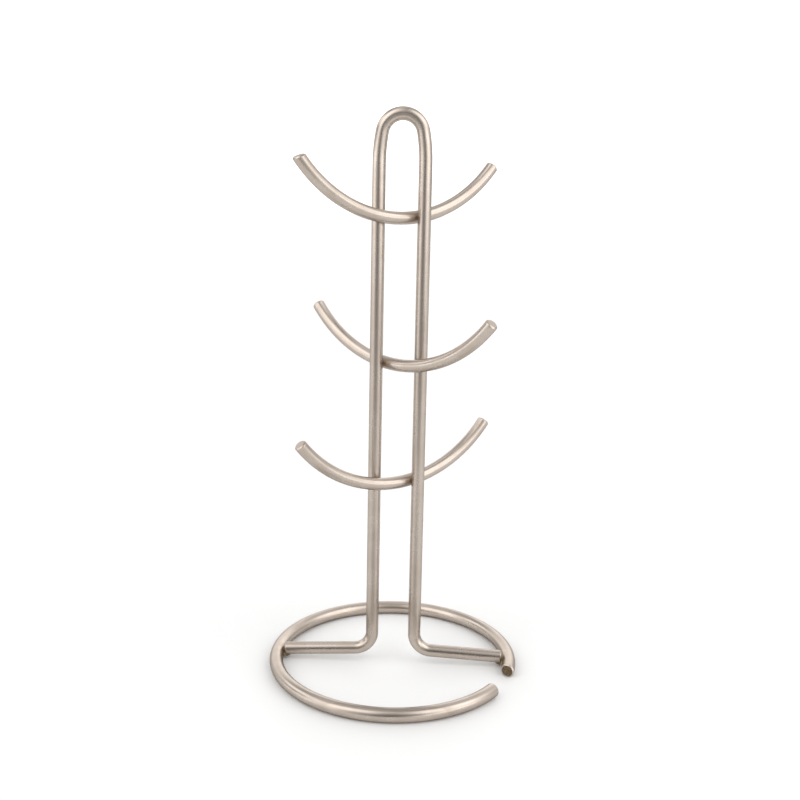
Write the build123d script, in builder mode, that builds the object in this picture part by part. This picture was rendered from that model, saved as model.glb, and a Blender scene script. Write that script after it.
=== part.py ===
"""Welded wire mug tree: an open base ring, a bent upright and three curved hook arms.

Units are millimetres, +Z is up and +X runs along the plane of the upright.
The origin is the centre of the base ring on the surface that the ring rests on.
"""

import os
from math import asin, cos, degrees, radians, sin, sqrt

from build123d import *

# Base ring: a heavier rod lying flat, open towards the front right.
RING_ROD = 9.0
RING_RADIUS = 78.6
RING_REAR_END = -12.0
RING_FRONT_END = -32.0
RING_REAR_SLANT = 14.0
RING_CHAMFER = 1.2

# Upright: one rod bent into a tall loop with two out-turned feet.
LOOP_ROD = 8.3
LEG_SPACING = 28.5
CROWN_HEIGHT = 360.0
CROWN_RADIUS = 12.8
CROWN_HALF_ANGLE = 80.0
FOOT_BEND_RADIUS = 12.0
FOOT_CORNER_HEIGHT = 9.6
FOOT_SLOPE = 2.8
FOOT_GAP = 0.2

# Hook arms: three arcs, tips up, each crossing between the legs.
# The spans are the angles from an arm's low point to its left and right tip.
ARM_ROD = 8.0
ARM_RADIUS = 89.0
ARM_CHAMFER = 0.9
CROSSING_GAP = 0.1
TOP_ARM_HEIGHT = 297.4
TOP_ARM_SPANS = (52.9, 51.3)
TOP_ARM_LEFT_SLANT = 15.0
MIDDLE_ARM_HEIGHT = 205.0
MIDDLE_ARM_SPANS = (51.6, 51.5)
BOTTOM_ARM_HEIGHT = 126.9
BOTTOM_ARM_SPANS = (52.2, 52.2)

# Welds: a nugget at each crossing and a bead under each foot's end.
NUGGET_RADIUS = 2.8
NUGGET_DEPTH = 4.0
BEAD_RADIUS = 4.6
BEAD_DROP = 1.4

# Angle by which a bent rod is left too long at both ends before they are sawn off.
SPARE_ANGLE = 4.0

# Derived positions.
HALF_SPACING = LEG_SPACING / 2
RING_HEIGHT = RING_ROD / 2
RING_SWEEP = 360 + RING_FRONT_END - RING_REAR_END
SHOULDER_TURN = 90 - CROWN_HALF_ANGLE
CROWN_SIN = sin(radians(CROWN_HALF_ANGLE))
CROWN_COS = cos(radians(CROWN_HALF_ANGLE))
SHOULDER_RADIUS = (HALF_SPACING - CROWN_RADIUS * CROWN_SIN) / (1 - CROWN_SIN)
SHOULDER_TOP = CROWN_HEIGHT - CROWN_RADIUS * (1 - CROWN_COS)
LEG_TOP = SHOULDER_TOP - SHOULDER_RADIUS * CROWN_COS
FOOT_END = RING_RADIUS - RING_HEIGHT - FOOT_GAP
FOOT_DROP = (FOOT_END - HALF_SPACING) * sin(radians(FOOT_SLOPE))
FOOT_END_HEIGHT = FOOT_CORNER_HEIGHT - FOOT_DROP
CROSSING_DISTANCE = (LOOP_ROD + ARM_ROD) / 2 + CROSSING_GAP
ARM_PLAN_ANGLE = degrees(asin(CROSSING_DISTANCE / HALF_SPACING))


def section_plane(path):
    """Plane square to a path at its start, for the rod's round section."""
    return Plane(origin=path @ 0, z_dir=path % 0)


def loop_points(side):
    """Foot end, corner and leg top of one side, in the upright's plane."""
    foot_end = (side * FOOT_END, FOOT_END_HEIGHT)
    corner = (side * HALF_SPACING, FOOT_CORNER_HEIGHT)
    leg_top = (side * HALF_SPACING, LEG_TOP)
    return foot_end, corner, leg_top


def arm_plane(low_height, plan_angle):
    """Vertical plane of an arm, with its origin at the centre of the arm's arc."""
    turn = radians(plan_angle)
    return Plane(
        origin=(0, 0, low_height + ARM_RADIUS),
        x_dir=(cos(turn), sin(turn), 0),
        z_dir=(sin(turn), -cos(turn), 0),
    )


def crossing_plane(side, low_height, plan_angle):
    """Plane midway between a leg and an arm where they cross, facing the arm."""
    turn = radians(plan_angle)
    leg_x = side * HALF_SPACING
    along_arm = leg_x * cos(turn)
    to_arm = Vector(along_arm * cos(turn) - leg_x, along_arm * sin(turn), 0)
    rise = ARM_RADIUS - sqrt(ARM_RADIUS**2 - along_arm**2)
    return Plane(origin=Vector(leg_x, 0, low_height + rise) + to_arm / 2, z_dir=to_arm)


def spare_arc(radius, start, sweep_angle):
    """Arc of a bent rod's centre line with some spare length at both ends."""
    return CenterArc((0, 0), radius, start - SPARE_ANGLE, sweep_angle + 2 * SPARE_ANGLE)


def sawn_end(plane, radius, angle, side, slant=0.0):
    """Plane of a sawn end of an arc round a plane's origin, facing away from the rod.

    The side is -1 at the arc's first end and 1 at its last; a slant shortens
    the inside of the bend and lengthens its outside.
    """
    place = radians(angle)
    inward = Vector(-cos(place), -sin(place), 0)
    onward = Vector(-sin(place), cos(place), 0) * side
    facing = onward * cos(radians(slant)) + inward * sin(radians(slant))
    return Plane(
        origin=plane.from_local_coords(inward * -radius),
        z_dir=plane.from_local_coords(facing) - plane.origin,
    )


def curved_arm(low_height, plan_angle, spans, left_slant=0.0):
    """One hook arm: a rod bent to an arc, sawn at both ends and chamfered."""
    plane = arm_plane(low_height, plan_angle)
    first, last = 270 - spans[0], 270 + spans[1]
    left_end = sawn_end(plane, ARM_RADIUS, first, -1, left_slant)
    right_end = sawn_end(plane, ARM_RADIUS, last, 1)
    with BuildPart() as arm:
        with BuildLine(plane) as arm_path:
            spare_arc(ARM_RADIUS, first, last - first)
        with BuildSketch(section_plane(arm_path.line)):
            Circle(ARM_ROD / 2)
        sweep()
        with BuildSketch(left_end, right_end):
            Rectangle(3 * ARM_ROD, 3 * ARM_ROD)
        extrude(amount=2 * ARM_ROD, mode=Mode.SUBTRACT)
        chamfer(arm.faces().filter_by(GeomType.PLANE).edges(), length=ARM_CHAMFER)
    return arm


def cross_weld(side, low_height, plan_angle, arm):
    """Nugget between a leg and an arm, following the surface of both rods."""
    with BuildPart() as nugget:
        with BuildSketch(crossing_plane(side, low_height, plan_angle)):
            Circle(NUGGET_RADIUS)
        extrude(amount=NUGGET_DEPTH / 2, both=True)
        add(upright_loop.part, mode=Mode.SUBTRACT)
        add(arm.part, mode=Mode.SUBTRACT)
    return nugget


def foot_weld(side):
    """Bead that joins the cut end of a foot to the inner side of the ring."""
    with BuildPart() as bead:
        with Locations((side * FOOT_END, 0, FOOT_END_HEIGHT - BEAD_DROP)):
            Sphere(BEAD_RADIUS)
        add(upright_loop.part, mode=Mode.SUBTRACT)
        add(base_ring.part, mode=Mode.SUBTRACT)
    return bead


ring_plane = Plane.XY.offset(RING_HEIGHT)
rear_end = sawn_end(ring_plane, RING_RADIUS, RING_REAR_END, -1, RING_REAR_SLANT)
front_end = sawn_end(ring_plane, RING_RADIUS, RING_FRONT_END, 1)

with BuildPart() as base_ring:
    with BuildLine(ring_plane) as ring_path:
        spare_arc(RING_RADIUS, RING_REAR_END, RING_SWEEP)
    with BuildSketch(section_plane(ring_path.line)):
        Circle(RING_ROD / 2)
    sweep()
    with BuildSketch(rear_end, front_end):
        Rectangle(2 * RING_ROD, 2 * RING_ROD)
    extrude(amount=RING_ROD, mode=Mode.SUBTRACT)
    chamfer(base_ring.faces().filter_by(GeomType.PLANE).edges(), length=RING_CHAMFER)

with BuildPart() as upright_loop:
    with BuildLine(Plane.XZ) as loop_path:
        FilletPolyline(*loop_points(-1), radius=FOOT_BEND_RADIUS)
        left_shoulder = JernArc(
            (-HALF_SPACING, LEG_TOP),
            (0, 1),
            SHOULDER_RADIUS,
            -SHOULDER_TURN,
        )
        crown = JernArc(
            (-CROWN_RADIUS * CROWN_SIN, SHOULDER_TOP),
            (CROWN_COS, CROWN_SIN),
            CROWN_RADIUS,
            -2 * CROWN_HALF_ANGLE,
        )
        right_shoulder = JernArc(
            (CROWN_RADIUS * CROWN_SIN, SHOULDER_TOP),
            (CROWN_COS, -CROWN_SIN),
            SHOULDER_RADIUS,
            -SHOULDER_TURN,
        )
        FilletPolyline(*reversed(loop_points(1)), radius=FOOT_BEND_RADIUS)
    with BuildSketch(section_plane(loop_path.wire())):
        Circle(LOOP_ROD / 2)
    sweep(path=loop_path.wire())

top_arm = curved_arm(TOP_ARM_HEIGHT, ARM_PLAN_ANGLE, TOP_ARM_SPANS, TOP_ARM_LEFT_SLANT)
middle_arm = curved_arm(MIDDLE_ARM_HEIGHT, -ARM_PLAN_ANGLE, MIDDLE_ARM_SPANS)
bottom_arm = curved_arm(BOTTOM_ARM_HEIGHT, ARM_PLAN_ANGLE, BOTTOM_ARM_SPANS)

weld_top_left = cross_weld(-1, TOP_ARM_HEIGHT, ARM_PLAN_ANGLE, top_arm)
weld_top_right = cross_weld(1, TOP_ARM_HEIGHT, ARM_PLAN_ANGLE, top_arm)
weld_middle_left = cross_weld(-1, MIDDLE_ARM_HEIGHT, -ARM_PLAN_ANGLE, middle_arm)
weld_middle_right = cross_weld(1, MIDDLE_ARM_HEIGHT, -ARM_PLAN_ANGLE, middle_arm)
weld_bottom_left = cross_weld(-1, BOTTOM_ARM_HEIGHT, ARM_PLAN_ANGLE, bottom_arm)
weld_bottom_right = cross_weld(1, BOTTOM_ARM_HEIGHT, ARM_PLAN_ANGLE, bottom_arm)
weld_foot_left = foot_weld(-1)
weld_foot_right = foot_weld(1)

PIECES = {
    "base_ring": base_ring,
    "upright_loop": upright_loop,
    "top_arm": top_arm,
    "middle_arm": middle_arm,
    "bottom_arm": bottom_arm,
    "weld_top_left": weld_top_left,
    "weld_top_right": weld_top_right,
    "weld_middle_left": weld_middle_left,
    "weld_middle_right": weld_middle_right,
    "weld_bottom_left": weld_bottom_left,
    "weld_bottom_right": weld_bottom_right,
    "weld_foot_left": weld_foot_left,
    "weld_foot_right": weld_foot_right,
}

os.makedirs("parts", exist_ok=True)
for name, piece in PIECES.items():
    piece.part.label = name
    export_step(piece.part, f"parts/{name}.step")
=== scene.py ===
"""Looks of the welded wire mug tree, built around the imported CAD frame. Metres, +Z up."""

from math import asin, cos, pi, radians, sin, tan

import bmesh
import bpy
from mathutils import Matrix, Vector, noise


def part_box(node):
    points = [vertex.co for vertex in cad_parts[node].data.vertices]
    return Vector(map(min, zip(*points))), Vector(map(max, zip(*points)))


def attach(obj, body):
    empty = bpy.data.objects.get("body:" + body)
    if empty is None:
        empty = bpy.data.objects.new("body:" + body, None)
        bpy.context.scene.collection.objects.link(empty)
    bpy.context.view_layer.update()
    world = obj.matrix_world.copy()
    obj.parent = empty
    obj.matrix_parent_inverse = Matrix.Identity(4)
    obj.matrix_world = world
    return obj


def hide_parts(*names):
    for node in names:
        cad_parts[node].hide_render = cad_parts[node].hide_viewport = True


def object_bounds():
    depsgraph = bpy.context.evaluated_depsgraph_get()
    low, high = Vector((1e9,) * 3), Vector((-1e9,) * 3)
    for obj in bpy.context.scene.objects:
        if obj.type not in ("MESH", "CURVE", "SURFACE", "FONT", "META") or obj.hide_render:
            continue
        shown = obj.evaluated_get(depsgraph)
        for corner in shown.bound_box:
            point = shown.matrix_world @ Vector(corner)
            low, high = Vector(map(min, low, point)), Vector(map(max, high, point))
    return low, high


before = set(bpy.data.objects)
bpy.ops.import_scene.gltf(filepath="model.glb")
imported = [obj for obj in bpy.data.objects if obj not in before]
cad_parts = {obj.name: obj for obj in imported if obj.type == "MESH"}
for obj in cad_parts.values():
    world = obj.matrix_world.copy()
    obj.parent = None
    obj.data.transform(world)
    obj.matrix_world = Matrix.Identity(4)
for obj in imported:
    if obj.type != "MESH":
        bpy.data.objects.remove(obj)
cad_low, cad_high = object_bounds()
middle = (cad_low + cad_high) / 2

# Camera: distance, angles and lens; the frame shift is a share of the picture's width.
CAMERA_DISTANCE = 0.6335
CAMERA_AZIMUTH = 2.523
CAMERA_ELEVATION = 12.108
CAMERA_ROLL = 1.18
CAMERA_LENS = 44.294
CAMERA_SENSOR = 36.0
AIM_OFFSET = (0.0018, 0.0, -0.0001)
FRAME_SHIFT = 0.000625

# Studio around the object: (azimuth, elevation), (half width, half height), strength.
ROOM_LEVEL = 0.10
LIGHT_PANELS = [
    ((-47, 42), (41, 37), 2.15),
    ((60, 43), (43, 33), 2.10),
    ((-104, 36), (18, 15), 1.70),
    ((129, 33), (51, 35), 0.84),
    ((-166, 17), (54, 26), 1.60),
    ((-156, 74), (70, 23), 1.02),
    ((53, 3), (40, 11), 2.15),
    ((-78, -1), (38, 9), 2.5),
    ((0, 72), (27, 9), 0.85),
]

# Feathered grey nets, seen only in reflections: centre, half size, density.
FRONT_NET = ((-0.026, -0.42, 0.178), (0.373, 0.174), 0.60)
LOW_NET = ((0.0, -0.074, 0.03), (0.05, 0.055), 0.30)
NET_MARGIN = 1.5

# White paper floor.
FLOOR_HALF = 12.0
FLOOR_ROUGHNESS = 0.75
FLOOR_FADE = 0.985
FIBRE_SIZE = 0.08

# Directions: the sign of X on either side of the tree, and the vertical.
SIDES_OF_TREE = {"left": -1, "right": 1}
UP = Vector((0, 0, 1))

# Bends of the rods, as in the CAD model; the rest of their sizes come from the frame.
LEG_SPACING = 0.0285
CROWN_RADIUS = 0.0128
CROWN_HALF_ANGLE = 80.0
FOOT_BEND_RADIUS = 0.012
FOOT_CORNER_HEIGHT = 0.0096
FOOT_SLOPE = 2.8
FOOT_GAP = 0.0002
ARM_ROD = 0.008
ARM_RADIUS = 0.089
ARM_SPANS = {"top": (52.9, 51.3), "middle": (51.6, 51.5), "bottom": (52.2, 52.2)}
CROSSING_GAP = 0.0001
RING_REAR_END = -12.0
RING_SWEEP = 340.0
RING_SLANTS = (14.0, 0.0)
ARM_SLANTS = {"top": (15.0, 0.0), "middle": (0.0, 0.0), "bottom": (0.0, 0.0)}

# Cut ends of the rods; a slant fades out over SLANT_REACH rod radii.
RING_CHAMFER = 0.0012
ARM_CHAMFER = 0.0009
FOOT_CHAMFER = 0.0011
SLANT_REACH = 4.0
EDGE_ROUNDING = 0.00025
FACE_RINGS = (0.2, 0.4, 0.6)
END_MARGIN = 1.2

# Fineness of the rods.
RUN_STEP = 0.004
BEND_STEP = 0.0011
SIDES = 64

# Weld metal: nuggets at the crossings, and lumps (from foot_end, y, z, radii) at the feet.
# Swell and ripple are the (depth, frequency) of a lump's uneven skin, as shares of its radii.
NUGGET_RADII = (0.0020, 0.0022, 0.0017)
BEAD_VOXEL = 0.00022
BEAD_SMOOTHING = (0.5, 4)
SWELL = (0.13, 1.6)
RIPPLE = (0.05, 4.5)
NUGGET_SEED_STEP = 1.9
BEAD_SEEDS = {"left": 13, "right": 27}
BEAD_SEED_STEP = 3.7
FOOT_BEADS = [
    (0.0007, 0.0, 0.0042, (0.0022, 0.0033, 0.0033)),
    (-0.0017, 0.0, 0.0030, (0.0028, 0.0028, 0.0019)),
    (0.0005, -0.0024, 0.0036, (0.0015, 0.0018, 0.0020)),
    (0.0005, 0.0024, 0.0036, (0.0015, 0.0018, 0.0020)),
]

# Colours, linear.
NICKEL = (0.53, 0.462, 0.405)
NICKEL_CLOUD = (0.49, 0.422, 0.364)
STRAW_TINT = (0.30, 0.20, 0.11)
SAWN_STEEL = (0.115, 0.078, 0.047)
SAWN_STEEL_PALE = (0.26, 0.195, 0.125)
BURNT_COLOURS = ((0.13, 0.088, 0.045), (0.36, 0.27, 0.155))
BLUSHED_COLOURS = ((0.33, 0.255, 0.185), (0.46, 0.385, 0.31))
FLOOR_WHITE = (0.80, 0.80, 0.797)

# Rod surface: sizes in metres, bumps as (strength, depth).
GRAIN_SIZE = 0.00025
GRAIN_BUMP = (0.03, 0.00004)
CLOUD_SIZE = 0.012
SATIN_ROUGHNESS = 0.28
EDGE_DULLING = (0.5, 0.5, 0.5)
HEAT_REACH = 0.0065
HEAT_CORE = 0.35
HEAT_WOBBLE = 0.006
HEAT_STRENGTH = 0.18
HEAT_ROUGHENING = 0.10
CUT_FACE_DEPTH = 0.0003
CUT_FACE_REACH = 0.006
SAWN_SPECK_SIZE = 0.0009
SAWN_ROUGHENING = 0.30
SAWN_BUMP = (0.6, 0.0002)

# Weld surface.
PATCH_SIZE = 0.003
PIT_SIZE = 0.0006
PIT_BUMP = (0.5, 0.0002)
WELD_METALLIC = 0.85


# ---------------------------------------------------------------- node helpers


def new_material(name):
    """Empty node material with its tree, shader and object coordinates."""
    material = bpy.data.materials.new(name)
    material.use_nodes = True
    tree = material.node_tree
    shader = tree.nodes["Principled BSDF"]
    coordinates = tree.nodes.new("ShaderNodeTexCoord")
    return material, tree, shader, coordinates.outputs["Object"]


def feed(tree, socket, value):
    """Link an output to a socket, or set the socket to a plain value."""
    if isinstance(value, bpy.types.NodeSocket):
        tree.links.new(value, socket)
    else:
        socket.default_value = value


def calc(tree, operation, first, second=0.0):
    """Result of a maths operation on two outputs or plain numbers."""
    node = tree.nodes.new("ShaderNodeMath")
    node.operation = operation
    feed(tree, node.inputs[0], first)
    feed(tree, node.inputs[1], second)
    return node.outputs[0]


def vector_calc(tree, operation, first, second, output="Vector"):
    """Result of a vector operation; output names the socket to use."""
    node = tree.nodes.new("ShaderNodeVectorMath")
    node.operation = operation
    feed(tree, node.inputs[0], first)
    feed(tree, node.inputs[1], second)
    return node.outputs[output]


def noise_field(tree, vector, size, detail=2.0, roughness=0.5):
    """Noise from 0 to 1 whose lumps are about size metres across."""
    node = tree.nodes.new("ShaderNodeTexNoise")
    node.inputs["Scale"].default_value = 1.0 / size
    node.inputs["Detail"].default_value = detail
    node.inputs["Roughness"].default_value = roughness
    feed(tree, node.inputs["Vector"], vector)
    return node.outputs["Fac"]


def remap(tree, value, low, high, out_low=0.0, out_high=1.0):
    """Smooth step of value from low..high to out_low..out_high."""
    node = tree.nodes.new("ShaderNodeMapRange")
    node.interpolation_type = "SMOOTHSTEP"
    feed(tree, node.inputs["Value"], value)
    node.inputs["From Min"].default_value = low
    node.inputs["From Max"].default_value = high
    node.inputs["To Min"].default_value = out_low
    node.inputs["To Max"].default_value = out_high
    return node.outputs["Result"]


def blend_colour(tree, factor, first, second):
    """Mix of two colours, each an output or a plain red, green and blue."""
    node = tree.nodes.new("ShaderNodeMix")
    node.data_type = "RGBA"
    feed(tree, node.inputs["Factor"], factor)
    a, b = [s for s in node.inputs if s.type == "RGBA"]
    feed(tree, a, first if isinstance(first, bpy.types.NodeSocket) else (*first, 1.0))
    feed(tree, b, second if isinstance(second, bpy.types.NodeSocket) else (*second, 1.0))
    return [s for s in node.outputs if s.type == "RGBA"][0]


def bump(tree, height, size, normal=None):
    """Surface direction bent by a height field; size is its (strength, depth)."""
    node = tree.nodes.new("ShaderNodeBump")
    node.inputs["Strength"].default_value, node.inputs["Distance"].default_value = size
    feed(tree, node.inputs["Height"], height)
    if normal is not None:
        feed(tree, node.inputs["Normal"], normal)
    return node.outputs["Normal"]


# ---------------------------------------------------------------- materials


def near_points(tree, position, points, reach, wobble):
    """1 at any of the points, falling smoothly to 0 at reach metres from all of them."""
    total = 0.0
    for point in points:
        distance = vector_calc(tree, "DISTANCE", position, tuple(point), "Value")
        distance = calc(tree, "ADD", distance, wobble)
        closeness = remap(tree, distance, reach, reach * HEAT_CORE)
        total = calc(tree, "MAXIMUM", total, closeness)
    return total


def on_cut_faces(tree, position, cuts):
    """1 on the flat faces at a rod's cut ends, each given as (centre, outward direction)."""
    total = 0.0
    for centre, outward in cuts:
        offset = vector_calc(tree, "SUBTRACT", position, tuple(centre))
        depth = vector_calc(tree, "DOT_PRODUCT", offset, tuple(outward), "Value")
        level = calc(tree, "GREATER_THAN", depth, -CUT_FACE_DEPTH)
        length = vector_calc(tree, "LENGTH", offset, (0, 0, 0), "Value")
        close = calc(tree, "LESS_THAN", length, CUT_FACE_REACH)
        total = calc(tree, "MAXIMUM", total, calc(tree, "MULTIPLY", level, close))
    return total


def satin_nickel(name, welds=(), cuts=()):
    """Satin nickel rod: fine grain, faint clouds, heat tint by the welds, bare sawn ends."""
    material, tree, shader, position = new_material(name)
    cloud = noise_field(tree, position, CLOUD_SIZE, detail=3.0)
    grain = noise_field(tree, position, GRAIN_SIZE, detail=2.0, roughness=0.6)
    colour = blend_colour(tree, remap(tree, cloud, 0.35, 0.7), NICKEL, NICKEL_CLOUD)
    wobble = calc(tree, "MULTIPLY", calc(tree, "SUBTRACT", cloud, 0.5), HEAT_WOBBLE)
    heat = near_points(tree, position, welds, HEAT_REACH, wobble)
    colour = blend_colour(tree, calc(tree, "MULTIPLY", heat, HEAT_STRENGTH), colour, STRAW_TINT)
    cut = on_cut_faces(tree, position, cuts)
    speck = noise_field(tree, position, SAWN_SPECK_SIZE, detail=4.0, roughness=0.7)
    sawn = blend_colour(tree, remap(tree, speck, 0.4, 0.65), SAWN_STEEL, SAWN_STEEL_PALE)
    colour = blend_colour(tree, cut, colour, sawn)
    roughness = calc(tree, "ADD", remap(tree, cloud, 0.3, 0.7, -0.015, 0.02), SATIN_ROUGHNESS)
    roughness = calc(tree, "ADD", roughness, calc(tree, "MULTIPLY", heat, HEAT_ROUGHENING))
    roughness = calc(tree, "ADD", roughness, calc(tree, "MULTIPLY", cut, SAWN_ROUGHENING))
    tree.links.new(colour, shader.inputs["Base Color"])
    tree.links.new(roughness, shader.inputs["Roughness"])
    shader.inputs["Metallic"].default_value = 1.0
    shader.inputs["Specular Tint"].default_value = (*EDGE_DULLING, 1.0)
    normal = bump(tree, grain, GRAIN_BUMP)
    normal = bump(tree, calc(tree, "MULTIPLY", speck, cut), SAWN_BUMP, normal)
    tree.links.new(normal, shader.inputs["Normal"])
    return material


def weld_metal(name, colours):
    """Weld metal: patches of two heat colours over small ripples and pits."""
    material, tree, shader, position = new_material(name)
    patch = noise_field(tree, position, PATCH_SIZE, detail=4.0, roughness=0.65)
    pits = noise_field(tree, position, PIT_SIZE, detail=3.0, roughness=0.6)
    colour = blend_colour(tree, remap(tree, patch, 0.35, 0.68), *colours)
    tree.links.new(colour, shader.inputs["Base Color"])
    tree.links.new(remap(tree, patch, 0.3, 0.7, 0.52, 0.36), shader.inputs["Roughness"])
    shader.inputs["Metallic"].default_value = WELD_METALLIC
    tree.links.new(bump(tree, pits, PIT_BUMP), shader.inputs["Normal"])
    return material


def white_floor(name):
    """White paper with faint, broad variation."""
    material, tree, shader, position = new_material(name)
    fibre = noise_field(tree, position, FIBRE_SIZE)
    faded = tuple(FLOOR_FADE * part for part in FLOOR_WHITE)
    colour = blend_colour(tree, fibre, FLOOR_WHITE, faded)
    tree.links.new(colour, shader.inputs["Base Color"])
    shader.inputs["Roughness"].default_value = FLOOR_ROUGHNESS
    return material


# ---------------------------------------------------------------- sizes from the frame


loop_low, loop_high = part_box("upright_loop")
ring_low, ring_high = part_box("base_ring")
loop_rod_radius = (loop_high.y - loop_low.y) / 2
arm_rod_radius = ARM_ROD / 2
crown_height = loop_high.z - loop_rod_radius
ring_rod_radius = (ring_high.z - ring_low.z) / 2
ring_radius = (ring_high.y - ring_low.y) / 2 - ring_rod_radius
ring_level = ring_low.z + ring_rod_radius
foot_end = ring_radius - ring_rod_radius - FOOT_GAP
half_spacing = LEG_SPACING / 2
arm_turn = asin((loop_rod_radius + arm_rod_radius + CROSSING_GAP) / half_spacing)
arm_turns = {"top": arm_turn, "middle": -arm_turn, "bottom": arm_turn}
arm_heights = {arm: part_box(f"{arm}_arm")[0].z + arm_rod_radius for arm in arm_turns}


# ---------------------------------------------------------------- rods


def add_run(path, heading, length):
    """Go on straight from the end of a flat path; heading is in degrees."""
    start = path[-1]
    step = length * Vector((cos(radians(heading)), sin(radians(heading))))
    count = max(1, round(length / RUN_STEP))
    path.extend(start + step * (index / count) for index in range(1, count + 1))


def add_bend(path, heading, radius, turn):
    """Go on along an arc that turns by turn degrees, positive to the left; return the heading."""
    side = radians(heading + (90 if turn > 0 else -90))
    centre = path[-1] + radius * Vector((cos(side), sin(side)))
    count = max(2, round(radius * abs(radians(turn)) / BEND_STEP))
    for index in range(1, count + 1):
        angle = side + pi + radians(turn) * index / count
        path.append(centre + radius * Vector((cos(angle), sin(angle))))
    return heading + turn


def upright_path():
    """Centre line of the upright, worked out for its right half and mirrored to the left."""
    crown_sin = sin(radians(CROWN_HALF_ANGLE))
    shoulder_radius = (half_spacing - CROWN_RADIUS * crown_sin) / (1 - crown_sin)
    bend_reach = FOOT_BEND_RADIUS * tan(radians(90 - FOOT_SLOPE) / 2)
    half = [Vector((0, crown_height))]
    heading = add_bend(half, 0, CROWN_RADIUS, -CROWN_HALF_ANGLE)
    heading = add_bend(half, heading, shoulder_radius, CROWN_HALF_ANGLE - 90)
    add_run(half, heading, half[-1].y - FOOT_CORNER_HEIGHT - bend_reach)
    heading = add_bend(half, heading, FOOT_BEND_RADIUS, 90 - FOOT_SLOPE)
    add_run(half, heading, (foot_end - half[-1].x) / cos(radians(FOOT_SLOPE)))
    left_half = [Vector((-point.x, point.y)) for point in reversed(half[1:])]
    return [Vector((point.x, 0, point.y)) for point in left_half + half]


def arm_path(low_height, turn, spans):
    """Centre line of a hook arm: an arc, tips up, in a vertical plane turned about Z."""
    left, right = [Vector((0, 0))], [Vector((0, 0))]
    add_bend(left, 0, ARM_RADIUS, spans[0])
    add_bend(right, 0, ARM_RADIUS, spans[1])
    flat = [Vector((-point.x, point.y)) for point in reversed(left[1:])] + right
    along = Vector((cos(turn), sin(turn), 0))
    return [along * point.x + Vector((0, 0, low_height + point.y)) for point in flat]


def ring_path():
    """Centre line of the base ring, from its rear end round the back to its front end."""
    start = radians(RING_REAR_END)
    flat = [ring_radius * Vector((cos(start), sin(start)))]
    add_bend(flat, RING_REAR_END + 90, ring_radius, RING_SWEEP)
    return [Vector((point.x, point.y, ring_level)) for point in flat]


def rounded_corner(before, corner, after):
    """Three points that round a corner of an end profile."""
    first = before.lerp(corner, 0.5)
    last = corner.lerp(after, 0.5)
    return [first, (first + last + 2 * corner) / 4, last]


def end_profile(radius, chamfer):
    """(inset, radius) of a chamfered end with rounded edges, from its centre to its side."""
    face = Vector((0, radius - chamfer))
    side = Vector((chamfer, radius))
    slope = (side - face).normalized() * EDGE_ROUNDING
    inner = face - Vector((0, EDGE_ROUNDING))
    outer = side + Vector((EDGE_ROUNDING, 0))
    profile = [Vector((0, radius * share)) for share in FACE_RINGS]
    profile.append(inner - Vector((0, EDGE_ROUNDING / 2)))
    profile.extend(rounded_corner(inner, face, face + slope))
    profile.extend(rounded_corner(side - slope, side, outer))
    profile.append(outer)
    return profile


def tangents(path):
    """Unit direction of the path at each of its points."""
    ahead = path[1:] + [2 * path[-1] - path[-2]]
    behind = [2 * path[0] - path[1]] + path[:-1]
    return [(after - before).normalized() for before, after in zip(behind, ahead)]


def rod_stations(path, radius, chamfer):
    """Centre, direction and radius of every ring of points along a rod."""
    directions = tangents(path)
    profile = end_profile(radius, chamfer)
    reach = END_MARGIN * profile[-1].x
    first, last = path[0], path[-1]
    stations = [(first + directions[0] * inset, directions[0], size) for inset, size in profile]
    for point, direction in zip(path, directions):
        if min((point - first).length, (point - last).length) > reach:
            stations.append((point, direction, radius))
    tail = [(last - directions[-1] * inset, directions[-1], size) for inset, size in profile]
    return stations + tail[::-1]


def lean(centre, path, radius, slants):
    """How far a ring of points leans over, as the slant of the nearer end fades out."""
    reach = SLANT_REACH * radius
    at_first = max(0.0, 1 - (centre - path[0]).length / reach)
    at_last = max(0.0, 1 - (centre - path[-1]).length / reach)
    return at_first * tan(radians(slants[0])) - at_last * tan(radians(slants[1]))


def swept_rod(name, path, across, radius, chamfer, slants=(0.0, 0.0)):
    """Finely swept round rod with slanted ends; across is square to the plane of its path."""
    stations = rod_stations(path, radius, chamfer)
    angles = [2 * pi * index / SIDES for index in range(SIDES)]
    work = bmesh.new()
    rings = []
    for centre, direction, size in stations:
        inward = across.cross(direction)
        inward += lean(centre, path, radius, slants) * direction
        ring = [centre + size * (cos(a) * inward + sin(a) * across) for a in angles]
        rings.append([work.verts.new(point) for point in ring])
    for ring, following in zip(rings, rings[1:]):
        for index in range(SIDES):
            after = (index + 1) % SIDES
            work.faces.new((ring[index], ring[after], following[after], following[index]))
    close_end(work, rings[0], stations[0][0])
    close_end(work, rings[-1], stations[-1][0])
    return mesh_piece(name, work)


def sawn_faces(path, across, slants):
    """(centre, outward direction) of the two cut ends of a rod."""
    faces = []
    for place, direction, slant in zip((0, -1), (-1, 1), slants):
        along = tangents(path)[place]
        inward = across.cross(along)
        facing = direction * cos(radians(slant)) * along + sin(radians(slant)) * inward
        faces.append((path[place], facing))
    return faces


def close_end(work, ring, centre):
    """Fan of triangles from a ring of points to its centre."""
    hub = work.verts.new(centre)
    for index in range(SIDES):
        work.faces.new((hub, ring[index], ring[(index + 1) % SIDES]))


def mesh_piece(name, work):
    """Smooth-shaded object from a bmesh, riding on the object's one body."""
    bmesh.ops.recalc_face_normals(work, faces=work.faces)
    mesh = bpy.data.meshes.new(name)
    work.to_mesh(mesh)
    work.free()
    mesh.shade_smooth()
    piece = bpy.data.objects.new(name, mesh)
    bpy.context.scene.collection.objects.link(piece)
    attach(piece, "root")
    return piece


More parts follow.
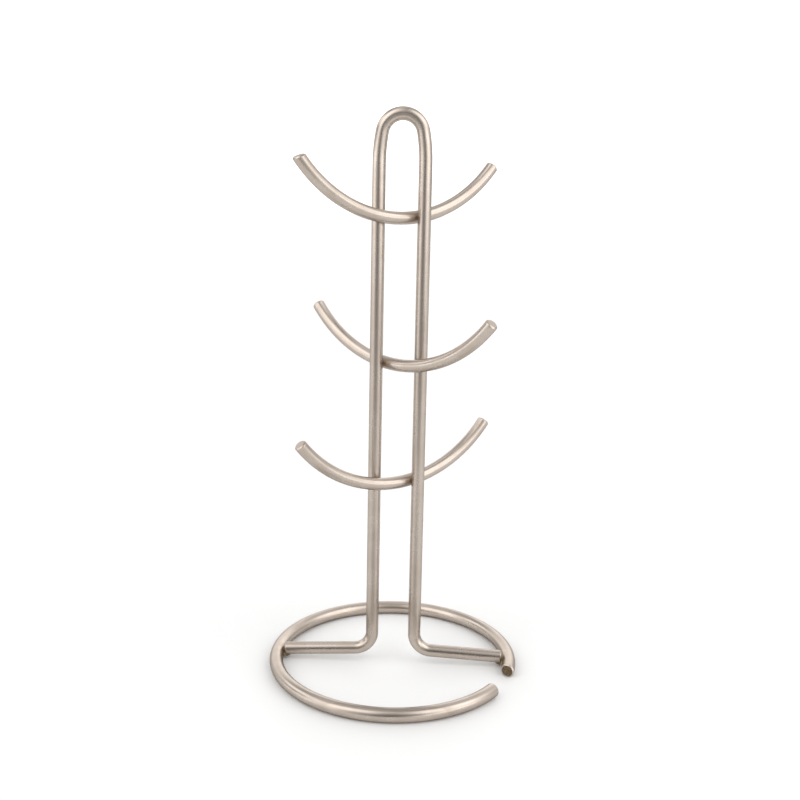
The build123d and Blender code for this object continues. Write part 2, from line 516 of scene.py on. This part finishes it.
def finish_rod(piece, node, material):
    """Let a rod stand for its CAD node and wear the satin finish."""
    piece.data.materials.append(material)
    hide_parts(node)


# ---------------------------------------------------------------- welds


def add_lump(work, place, radii, facing, seed):
    """One flattened ball of weld metal with a seeded, uneven skin."""
    turn = facing.to_track_quat("Z", "Y").to_matrix()
    ball = bmesh.ops.create_icosphere(work, subdivisions=4, radius=1.0)
    for vertex in ball["verts"]:
        start = vertex.co.copy()
        swell = SWELL[0] * noise.noise(start * SWELL[1] + Vector((seed, 0, 0)))
        ripple = RIPPLE[0] * noise.noise(start * RIPPLE[1] + Vector((0, seed, 0)))
        shape = Vector([radius * part for radius, part in zip(radii, start)])
        vertex.co = place + turn @ (shape * (1 + swell + ripple))


def crossing_places(side, low_height, turn):
    """Midpoint between a leg and an arm where they cross, and the direction to the arm."""
    along_arm = side * half_spacing * cos(turn)
    rise = ARM_RADIUS - (ARM_RADIUS**2 - along_arm**2) ** 0.5
    on_leg = Vector((side * half_spacing, 0, low_height + rise))
    on_arm = Vector((along_arm * cos(turn), along_arm * sin(turn), low_height + rise))
    return (on_leg + on_arm) / 2, (on_arm - on_leg).normalized()


def merge_lumps(piece):
    """Melt overlapping lumps into one skin."""
    remesh = piece.modifiers.new("merge", "REMESH")
    remesh.mode = "VOXEL"
    remesh.voxel_size = BEAD_VOXEL
    relax = piece.modifiers.new("relax", "SMOOTH")
    relax.factor, relax.iterations = BEAD_SMOOTHING
    shape = piece.evaluated_get(bpy.context.evaluated_depsgraph_get())
    merged = bpy.data.meshes.new_from_object(shape)
    piece.modifiers.clear()
    piece.data = merged
    merged.shade_smooth()


def finish_weld(piece, node, material):
    """Let a weld stand for its CAD node and wear its heat-coloured finish."""
    piece.data.materials.clear()
    piece.data.materials.append(material)
    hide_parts(node)


def crossing_weld(name, place, facing, seed):
    """Nugget squeezed out between two rods."""
    work = bmesh.new()
    add_lump(work, place, NUGGET_RADII, facing, seed)
    return mesh_piece(name, work)


def foot_weld(name, side, seed):
    """Bead under and beside a foot's end, run against the inner side of the ring."""
    work = bmesh.new()
    for index, (inset, y, z, radii) in enumerate(FOOT_BEADS):
        place = Vector((side * (foot_end + inset), y, z))
        add_lump(work, place, radii, UP, seed + BEAD_SEED_STEP * index)
    piece = mesh_piece(name, work)
    merge_lumps(piece)
    return piece


# ---------------------------------------------------------------- the object


def find_crossings():
    """Place and direction of the six welds between an arm and a leg, by name."""
    return {
        f"{arm}_{word}": crossing_places(side, arm_heights[arm], turn)
        for arm, turn in arm_turns.items()
        for word, side in SIDES_OF_TREE.items()
    }


def add_ring():
    """Base ring, with bare sawn ends and a heat tint by the feet."""
    line = ring_path()
    ring = swept_rod("ring_rod", line, UP, ring_rod_radius, RING_CHAMFER, RING_SLANTS)
    feet = [Vector((side * foot_end, 0, ring_level)) for side in SIDES_OF_TREE.values()]
    cuts = sawn_faces(line, UP, RING_SLANTS)
    finish_rod(ring, "base_ring", satin_nickel("satin_nickel_ring", feet, cuts))


def add_upright(crossings):
    """Upright, with a heat tint where the arms cross it."""
    across = Vector((0, -1, 0))
    loop = swept_rod("upright_rod", upright_path(), across, loop_rod_radius, FOOT_CHAMFER)
    welds = [place for place, facing in crossings.values()]
    finish_rod(loop, "upright_loop", satin_nickel("satin_nickel_loop", welds))


def add_arm(arm, turn, crossings):
    """One hook arm, with a heat tint where it crosses the legs."""
    line = arm_path(arm_heights[arm], turn, ARM_SPANS[arm])
    across = Vector((sin(turn), -cos(turn), 0))
    slants = ARM_SLANTS[arm]
    rod = swept_rod(f"{arm}_rod", line, across, arm_rod_radius, ARM_CHAMFER, slants)
    welds = [crossings[f"{arm}_{word}"][0] for word in SIDES_OF_TREE]
    finish_rod(rod, f"{arm}_arm", satin_nickel(f"satin_nickel_{arm}", welds))


def add_welds(crossings):
    """Nuggets at the crossings and beads at the feet, in two tones of heat."""
    blushed_weld = weld_metal("blushed_weld", BLUSHED_COLOURS)
    burnt_weld = weld_metal("burnt_weld", BURNT_COLOURS)
    for index, (spot, (place, facing)) in enumerate(crossings.items()):
        nugget = crossing_weld(f"nugget_{spot}", place, facing, NUGGET_SEED_STEP * index)
        finish_weld(nugget, f"weld_{spot}", blushed_weld)
    for word, side in SIDES_OF_TREE.items():
        bead = foot_weld(f"bead_{word}", side, BEAD_SEEDS[word])
        finish_weld(bead, f"weld_foot_{word}", burnt_weld)


# ---------------------------------------------------------------- stage, light and camera


def new_sheet(name, corners, material):
    """Flat sheet with four corners."""
    mesh = bpy.data.meshes.new(name)
    mesh.from_pydata(corners, [], [(0, 1, 2, 3)])
    mesh.materials.append(material)
    sheet = bpy.data.objects.new(name, mesh)
    bpy.context.scene.collection.objects.link(sheet)
    return sheet


def add_floor():
    """Lay the white paper that the ring stands on."""
    half, z = FLOOR_HALF, cad_low.z
    corners = [(-half, -half, z), (half, -half, z), (half, half, z), (-half, half, z)]
    floor = new_sheet("floor", corners, white_floor("white_paper"))


def soft_patch(tree, across, upward, half_size):
    """1 at the middle of a soft-edged oval of half_size, falling to 0 outside it."""
    across = calc(tree, "DIVIDE", across, half_size[0])
    upward = calc(tree, "DIVIDE", upward, half_size[1])
    spread = calc(tree, "MULTIPLY", across, across)
    spread = calc(tree, "ADD", spread, calc(tree, "MULTIPLY", upward, upward))
    spread = calc(tree, "MULTIPLY", spread, spread)
    return calc(tree, "EXPONENT", calc(tree, "MULTIPLY", spread, -1.0))


def light_panel(tree, azimuth, elevation, place, half_size):
    """Soft-edged patch of sky round place (azimuth, elevation), in degrees."""
    across = calc(tree, "PINGPONG", calc(tree, "SUBTRACT", azimuth, place[0]), 180.0)
    upward = calc(tree, "SUBTRACT", elevation, place[1])
    return soft_patch(tree, across, upward, half_size)


def grey_net(name, half_size, density):
    """Half-transparent black net whose edges fade out."""
    material = bpy.data.materials.new(name)
    material.use_nodes = True
    tree = material.node_tree
    coordinates = tree.nodes.new("ShaderNodeTexCoord")
    parts = tree.nodes.new("ShaderNodeSeparateXYZ")
    feed(tree, parts.inputs[0], coordinates.outputs["Object"])
    mask = soft_patch(tree, parts.outputs["X"], parts.outputs["Z"], half_size)
    mix = tree.nodes.new("ShaderNodeMixShader")
    feed(tree, mix.inputs["Fac"], calc(tree, "MULTIPLY", mask, density))
    clear = tree.nodes.new("ShaderNodeBsdfTransparent")
    black = tree.nodes.new("ShaderNodeEmission")
    black.inputs["Strength"].default_value = 0.0
    tree.links.new(clear.outputs[0], mix.inputs[1])
    tree.links.new(black.outputs[0], mix.inputs[2])
    tree.links.new(mix.outputs[0], tree.nodes["Material Output"].inputs["Surface"])
    return material


def add_net(name, place, half_size, density):
    """Stand a net on the floor, darkest at place."""
    half_width = NET_MARGIN * half_size[0]
    top = NET_MARGIN * half_size[1]
    bottom = cad_low.z - place[2]
    corners = [(-half_width, 0, bottom), (half_width, 0, bottom)]
    corners += [(half_width, 0, top), (-half_width, 0, top)]
    net = new_sheet(name, corners, grey_net(name, half_size, density))
    net.location = place
    net.visible_camera = False
    net.visible_diffuse = False
    net.visible_shadow = False


def sky_angles(tree):
    """Azimuth (0 on the camera's side, 90 on the right) and elevation of the sky, in degrees."""
    coordinates = tree.nodes.new("ShaderNodeTexCoord")
    parts = tree.nodes.new("ShaderNodeSeparateXYZ")
    feed(tree, parts.inputs[0], coordinates.outputs["Generated"])
    x, y, z = parts.outputs
    azimuth = calc(tree, "ARCTAN2", x, calc(tree, "MULTIPLY", y, -1.0))
    elevation = calc(tree, "ARCSINE", calc(tree, "MAXIMUM", calc(tree, "MINIMUM", z, 1.0), -1.0))
    return calc(tree, "DEGREES", azimuth), calc(tree, "DEGREES", elevation)


def add_studio():
    """White background for the camera; soft light panels for everything else."""
    world = bpy.data.worlds.new("studio")
    world.use_nodes = True
    tree = world.node_tree
    azimuth, elevation = sky_angles(tree)
    light = ROOM_LEVEL
    for place, half_size, strength in LIGHT_PANELS:
        patch = light_panel(tree, azimuth, elevation, place, half_size)
        light = calc(tree, "ADD", light, calc(tree, "MULTIPLY", patch, strength))
    seen = tree.nodes.new("ShaderNodeLightPath").outputs["Is Camera Ray"]
    light = calc(tree, "MAXIMUM", light, seen)
    background = tree.nodes["Background"]
    background.inputs["Color"].default_value = (1, 1, 1, 1)
    tree.links.new(light, background.inputs["Strength"])
    bpy.context.scene.world = world


def add_camera():
    """Camera in front of the object, a little to its right and above it, slightly rolled."""
    data = bpy.data.cameras.new("camera")
    data.lens = CAMERA_LENS
    data.sensor_width = CAMERA_SENSOR
    data.shift_x = -FRAME_SHIFT
    data.shift_y = FRAME_SHIFT
    camera = bpy.data.objects.new("camera", data)
    bpy.context.scene.collection.objects.link(camera)
    azimuth = radians(CAMERA_AZIMUTH)
    elevation = radians(CAMERA_ELEVATION)
    outward = Vector((sin(azimuth) * cos(elevation), -cos(azimuth) * cos(elevation), sin(elevation)))
    facing = outward.to_track_quat("Z", "Y").to_matrix().to_4x4()
    roll = Matrix.Rotation(radians(CAMERA_ROLL), 4, "Z")
    place = middle + Vector(AIM_OFFSET) + outward * CAMERA_DISTANCE
    camera.matrix_world = Matrix.Translation(place) @ facing @ roll
    bpy.context.scene.camera = camera


# ---------------------------------------------------------------- the scene


crossings = find_crossings()
add_ring()
add_upright(crossings)
for arm, turn in arm_turns.items():
    add_arm(arm, turn, crossings)
add_welds(crossings)

add_floor()
add_studio()
add_net("front_net", *FRONT_NET)
add_net("low_net", *LOW_NET)
add_camera()
bpy.context.scene.view_settings.view_transform = "Standard"
